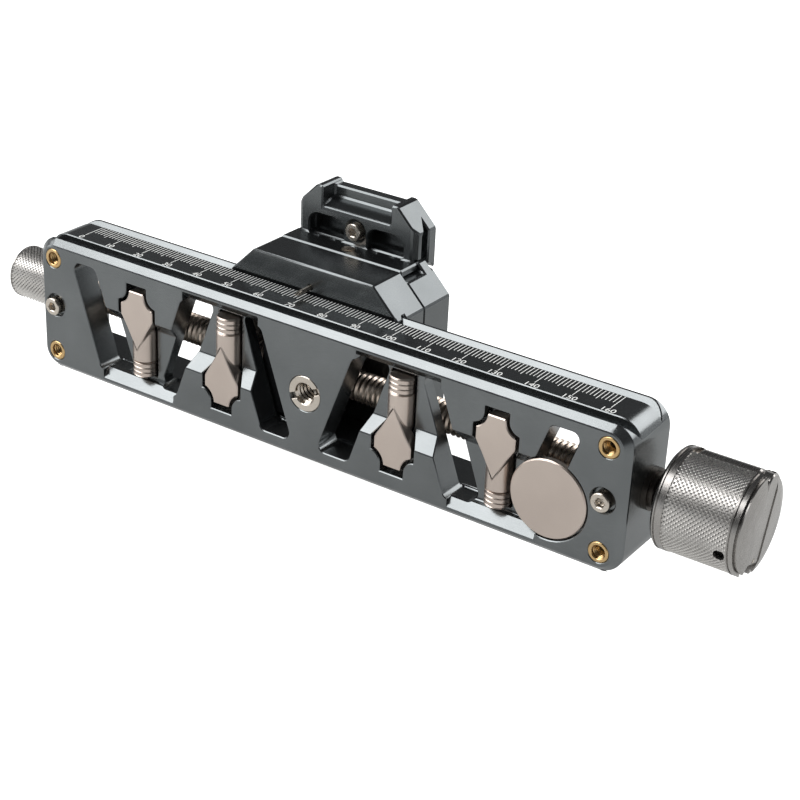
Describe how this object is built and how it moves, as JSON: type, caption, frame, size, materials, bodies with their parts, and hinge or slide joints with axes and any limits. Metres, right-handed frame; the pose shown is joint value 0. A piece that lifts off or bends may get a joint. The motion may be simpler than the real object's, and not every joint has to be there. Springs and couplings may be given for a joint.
{
  "type": "macro focusing rail",
  "caption": "Macro focusing rail with a lead screw, knurled knobs, fold-out crank, a sliding carriage with a dovetail plate clamp and tools stored in its trussed front.",
  "frame": {"origin": "centre of the tripod socket on the front face of the rail, the face with the windows", "axes": "+X along the lead screw towards the drive knob, +Y from the front face through the rail to the carriage, +Z across the rail towards the moving clamp jaw and the scale seen in the picture"},
  "size_m": [0.2252, 0.0445, 0.072],
  "materials": {
    "black_anodised": "black anodised, bead blasted",
    "brass": "machined",
    "stainless": "turned stainless steel",
    "nickel": "nickel plated",
    "dark_bush": "oiled sintered bronze",
    "satin_steel": "bead blasted stainless steel",
    "screw_steel": "rolled thread",
    "black_steel": "black oxide",
    "knob_aluminium": "knurled, clear anodised"
  },
  "bodies": {
    "rail": {"rail_frame": "black_anodised", "corner_inserts": "brass", "end_screws": "stainless", "tripod_bushing": "stainless", "coin_magnet": "nickel", "paddle_magnets": "nickel", "right_bush": "dark_bush", "left_bush": "dark_bush"},
    "drive": {"lead_screw": "screw_steel", "thrust_collar": "black_steel", "drive_knob": "knob_aluminium", "knob_set_screw": "black_steel", "rear_knob": "knob_aluminium", "rear_set_screw": "black_steel"},
    "crank": {"crank_arm": "knob_aluminium", "crank_hinge_pin": "stainless", "crank_dowel": "stainless", "grip_axle": "stainless"},
    "grip": {"crank_grip": "knob_aluminium"},
    "carriage": {"carriage_saddle": "black_anodised", "travelling_nut": "black_steel", "nut_screws": "stainless", "gib_strip": "brass", "gib_screws": "black_steel", "pointer_pin": "stainless", "clamp_body": "black_anodised", "joining_screws": "stainless", "clamp_washer": "stainless"},
    "jaw": {"clamp_jaw": "black_anodised", "jaw_screw": "stainless", "draw_rod": "stainless"},
    "clamp_knob": {"clamp_knob": "knob_aluminium"},
    "thumb_1": {"thumb_screw_1": "satin_steel"},
    "thumb_2": {"thumb_screw_2": "satin_steel"},
    "thumb_3": {"thumb_screw_3": "satin_steel"},
    "thumb_4": {"thumb_screw_4": "satin_steel"},
    "coin": {"coin_tool": "satin_steel"}
  },
  "joints": [
    {"name": "carriage_slide", "type": "slide", "parent": "rail", "child": "carriage", "axis": [1, 0, 0], "range_m": [-0.053, 0.073]},
    {"name": "drive_spin", "type": "hinge", "parent": "rail", "child": "drive", "pos_m": [0, 0.0124, 0], "axis": [1, 0, 0], "continuous": true},
    {"name": "crank_fold", "type": "hinge", "parent": "drive", "child": "crank", "pos_m": [0.1164, 0.00987, -0.0078], "axis": [0, 0.9511, -0.309], "range_deg": [0, 180]},
    {"name": "grip_spin", "type": "hinge", "parent": "crank", "child": "grip", "pos_m": [0.1084, 0.01537, 0.00913], "axis": [1, 0, 0], "continuous": true},
    {"name": "jaw_slide", "type": "slide", "parent": "carriage", "child": "jaw", "axis": [0, 0, 1], "range_m": [0, 0.004]},
    {"name": "clamp_knob_spin", "type": "hinge", "parent": "carriage", "child": "clamp_knob", "pos_m": [-0.01015, 0.0311, -0.029], "axis": [0, 0, 1], "continuous": true},
    {"name": "thumb_1_out", "type": "slide", "parent": "rail", "child": "thumb_1", "axis": [0, -1, 0], "range_m": [0, 0.012]},
    {"name": "thumb_2_out", "type": "slide", "parent": "rail", "child": "thumb_2", "axis": [0, -1, 0], "range_m": [0, 0.012]},
    {"name": "thumb_3_out", "type": "slide", "parent": "rail", "child": "thumb_3", "axis": [0, -1, 0], "range_m": [0, 0.012]},
    {"name": "thumb_4_out", "type": "slide", "parent": "rail", "child": "thumb_4", "axis": [0, -1, 0], "range_m": [0, 0.012]},
    {"name": "coin_out", "type": "slide", "parent": "rail", "child": "coin", "axis": [0, -1, 0], "range_m": [0, 0.012]}
  ],
  "couplings": [
    {"joint": "drive_spin", "follows": "carriage_slide", "rad_per_m": -4188.8},
    {"joint": "clamp_knob_spin", "follows": "jaw_slide", "rad_per_m": -7854}
  ]
}
